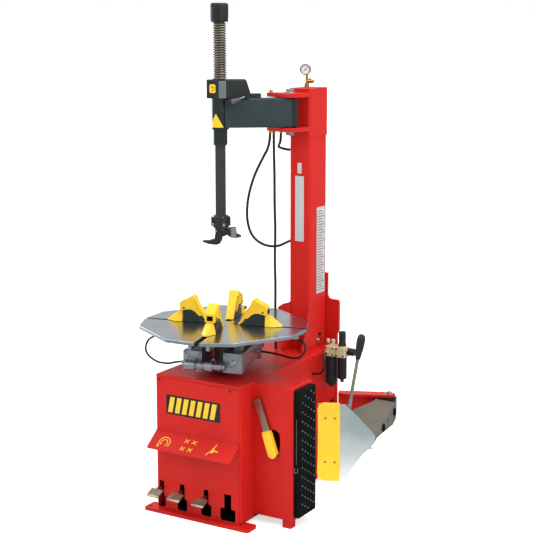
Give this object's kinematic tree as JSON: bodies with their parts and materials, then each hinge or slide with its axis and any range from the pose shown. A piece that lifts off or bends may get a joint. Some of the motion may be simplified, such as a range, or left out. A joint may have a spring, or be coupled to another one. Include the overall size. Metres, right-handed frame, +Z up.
{
  "type": "tire changer machine",
  "caption": "Swing-arm tyre changer: pedal cabinet, round turntable with sliding jaws, column with swing arm and mount tool, side bead breaker, hung tyre lever.",
  "frame": {"origin": "centre of the four floor anchor slots, on the floor", "axes": "+X to the operator's right, +Y away from the operator, +Z up"},
  "size_m": [0.8946, 0.954, 1.835],
  "materials": {
    "red_paint": "semi_gloss",
    "charcoal_paint": "satin",
    "black_paint": "gloss",
    "taupe_paint": "satin",
    "galvanised_steel": "satin",
    "machined_steel": "satin",
    "zinc_plate": "satin",
    "chrome_bar": "polished",
    "cast_iron": "rough",
    "cylinder_aluminium": "satin",
    "brass": "satin",
    "yellow_plastic": "semi_gloss",
    "black_plastic": "matt",
    "regulator_plastic": "satin",
    "black_rubber": "matt",
    "black_hose": "satin"
  },
  "bodies": {
    "cabinet": {"base_frame": "red_paint", "wall_left": "red_paint", "wall_right": "red_paint", "rear_panel": "red_paint", "top_deck": "red_paint", "front_panel": "red_paint", "pedal_visor": "red_paint", "side_box": "red_paint", "rubber_pad": "black_rubber", "screws": "zinc_plate", "column_tube": "red_paint", "column_head": "red_paint", "spine_plate": "red_paint", "hinge_plate_upper": "red_paint", "hinge_plate_lower": "red_paint", "pivot_pins": "machined_steel", "gauge_case": "machined_steel", "brass_fittings": "brass", "gearbox": "cast_iron", "pedal_shaft": "machined_steel", "breaker_bracket": "red_paint", "frl_body": "regulator_plastic", "frl_bowls": "black_plastic", "hose_loop": "black_hose", "hose_drop": "black_hose", "hose_short": "black_hose", "frl_hose": "black_hose"},
    "turntable": {"turntable_plate": "galvanised_steel", "turntable_hub": "cast_iron", "clamp_cylinders": "cylinder_aluminium", "clamp_manifold": "machined_steel", "table_hose_left": "black_hose", "table_hose_right": "black_hose"},
    "jaw_slide_1": {"jaw_1": "black_paint", "jaw_guard_1": "yellow_plastic"},
    "jaw_slide_2": {"jaw_2": "black_paint", "jaw_guard_2": "yellow_plastic", "clamp_rods": "machined_steel"},
    "jaw_slide_3": {"jaw_3": "black_paint", "jaw_guard_3": "yellow_plastic"},
    "jaw_slide_4": {"jaw_4": "black_paint", "jaw_guard_4": "yellow_plastic"},
    "swing_arm": {"arm_beam": "charcoal_paint", "head_housing": "black_plastic", "post_sleeve": "black_paint"},
    "tool_post": {"post_bar": "chrome_bar", "post_cap": "black_plastic", "post_spring": "machined_steel", "mount_tool": "machined_steel"},
    "lock_lever_body": {"lock_lever": "black_plastic"},
    "pedal_body_1": {"pedal_1": "zinc_plate"},
    "pedal_body_2": {"pedal_2": "zinc_plate"},
    "pedal_body_3": {"pedal_3": "zinc_plate"},
    "knob_body": {"regulator_knob": "black_plastic"},
    "breaker_arm_body": {"breaker_arm": "taupe_paint"},
    "breaker_blade": {"blade_plate": "machined_steel", "blade_guard": "yellow_plastic", "blade_handle": "zinc_plate"},
    "lever_body": {"tyre_lever": "zinc_plate"}
  },
  "joints": [
    {"name": "turntable_spin", "type": "hinge", "parent": "cabinet", "child": "turntable", "pos_m": [0, -0.162, 0.6], "axis": [0, 0, 1], "continuous": true},
    {"name": "jaw_travel_1", "type": "slide", "parent": "turntable", "child": "jaw_slide_1", "axis": [0.9659, 0.2588, 0], "range_m": [-0.033, 0.075]},
    {"name": "jaw_travel_2", "type": "slide", "parent": "turntable", "child": "jaw_slide_2", "axis": [-0.2588, 0.9659, 0], "range_m": [-0.033, 0.075]},
    {"name": "jaw_travel_3", "type": "slide", "parent": "turntable", "child": "jaw_slide_3", "axis": [-0.9659, -0.2588, 0], "range_m": [-0.033, 0.075]},
    {"name": "jaw_travel_4", "type": "slide", "parent": "turntable", "child": "jaw_slide_4", "axis": [0.2588, -0.9659, 0], "range_m": [-0.033, 0.075]},
    {"name": "arm_swing", "type": "hinge", "parent": "cabinet", "child": "swing_arm", "pos_m": [0.082, 0.165, 1.434], "axis": [0, 0, 1], "range_deg": [-55, 25]},
    {"name": "post_travel", "type": "slide", "parent": "swing_arm", "child": "tool_post", "axis": [0, 0, -1], "range_m": [0, 0.125], "stiffness_N_per_m": 600, "springref_m": -0.2, "deforming": ["post_spring"]},
    {"name": "post_lock", "type": "hinge", "parent": "swing_arm", "child": "lock_lever_body", "pos_m": [-0.07442, -0.00296, 1.474], "axis": [0.6018, -0.7986, 0], "range_deg": [-50, 10]},
    {"name": "pedal_press_1", "type": "hinge", "parent": "cabinet", "child": "pedal_body_1", "pos_m": [-0.16, -0.24, 0.084], "axis": [1, 0, 0], "range_deg": [-5, 12], "stiffness_Nm_per_rad": 15, "springref_deg": -3.44},
    {"name": "pedal_press_2", "type": "hinge", "parent": "cabinet", "child": "pedal_body_2", "pos_m": [-0.07, -0.24, 0.084], "axis": [1, 0, 0], "range_deg": [0, 12], "stiffness_Nm_per_rad": 8, "springref_deg": -17.19},
    {"name": "pedal_press_3", "type": "hinge", "parent": "cabinet", "child": "pedal_body_3", "pos_m": [0.034, -0.24, 0.084], "axis": [1, 0, 0], "range_deg": [0, 12], "stiffness_Nm_per_rad": 8, "springref_deg": -17.19},
    {"name": "regulator_turn", "type": "hinge", "parent": "cabinet", "child": "knob_body", "pos_m": [0.254, 0.27, 0.57], "axis": [0, 0, 1], "range_deg": [-150, 150]},
    {"name": "breaker_swing", "type": "hinge", "parent": "cabinet", "child": "breaker_arm_body", "pos_m": [0.365, 0.455, 0.292], "axis": [0, 0, 1], "range_deg": [-2, 35]},
    {"name": "blade_tilt", "type": "hinge", "parent": "breaker_arm_body", "child": "breaker_blade", "pos_m": [0.53566, -0.07844, 0.292], "axis": [0, 0, 1], "range_deg": [-8, 12]},
    {"name": "lever_pull_off", "type": "slide", "parent": "cabinet", "child": "lever_body", "axis": [0, -1, 0], "range_m": [0, 0.06]}
  ],
  "couplings": [
    {"joint": "jaw_travel_2", "follows": "jaw_travel_1", "ratio": 1},
    {"joint": "jaw_travel_3", "follows": "jaw_travel_1", "ratio": 1},
    {"joint": "jaw_travel_4", "follows": "jaw_travel_1", "ratio": 1}
  ]
}
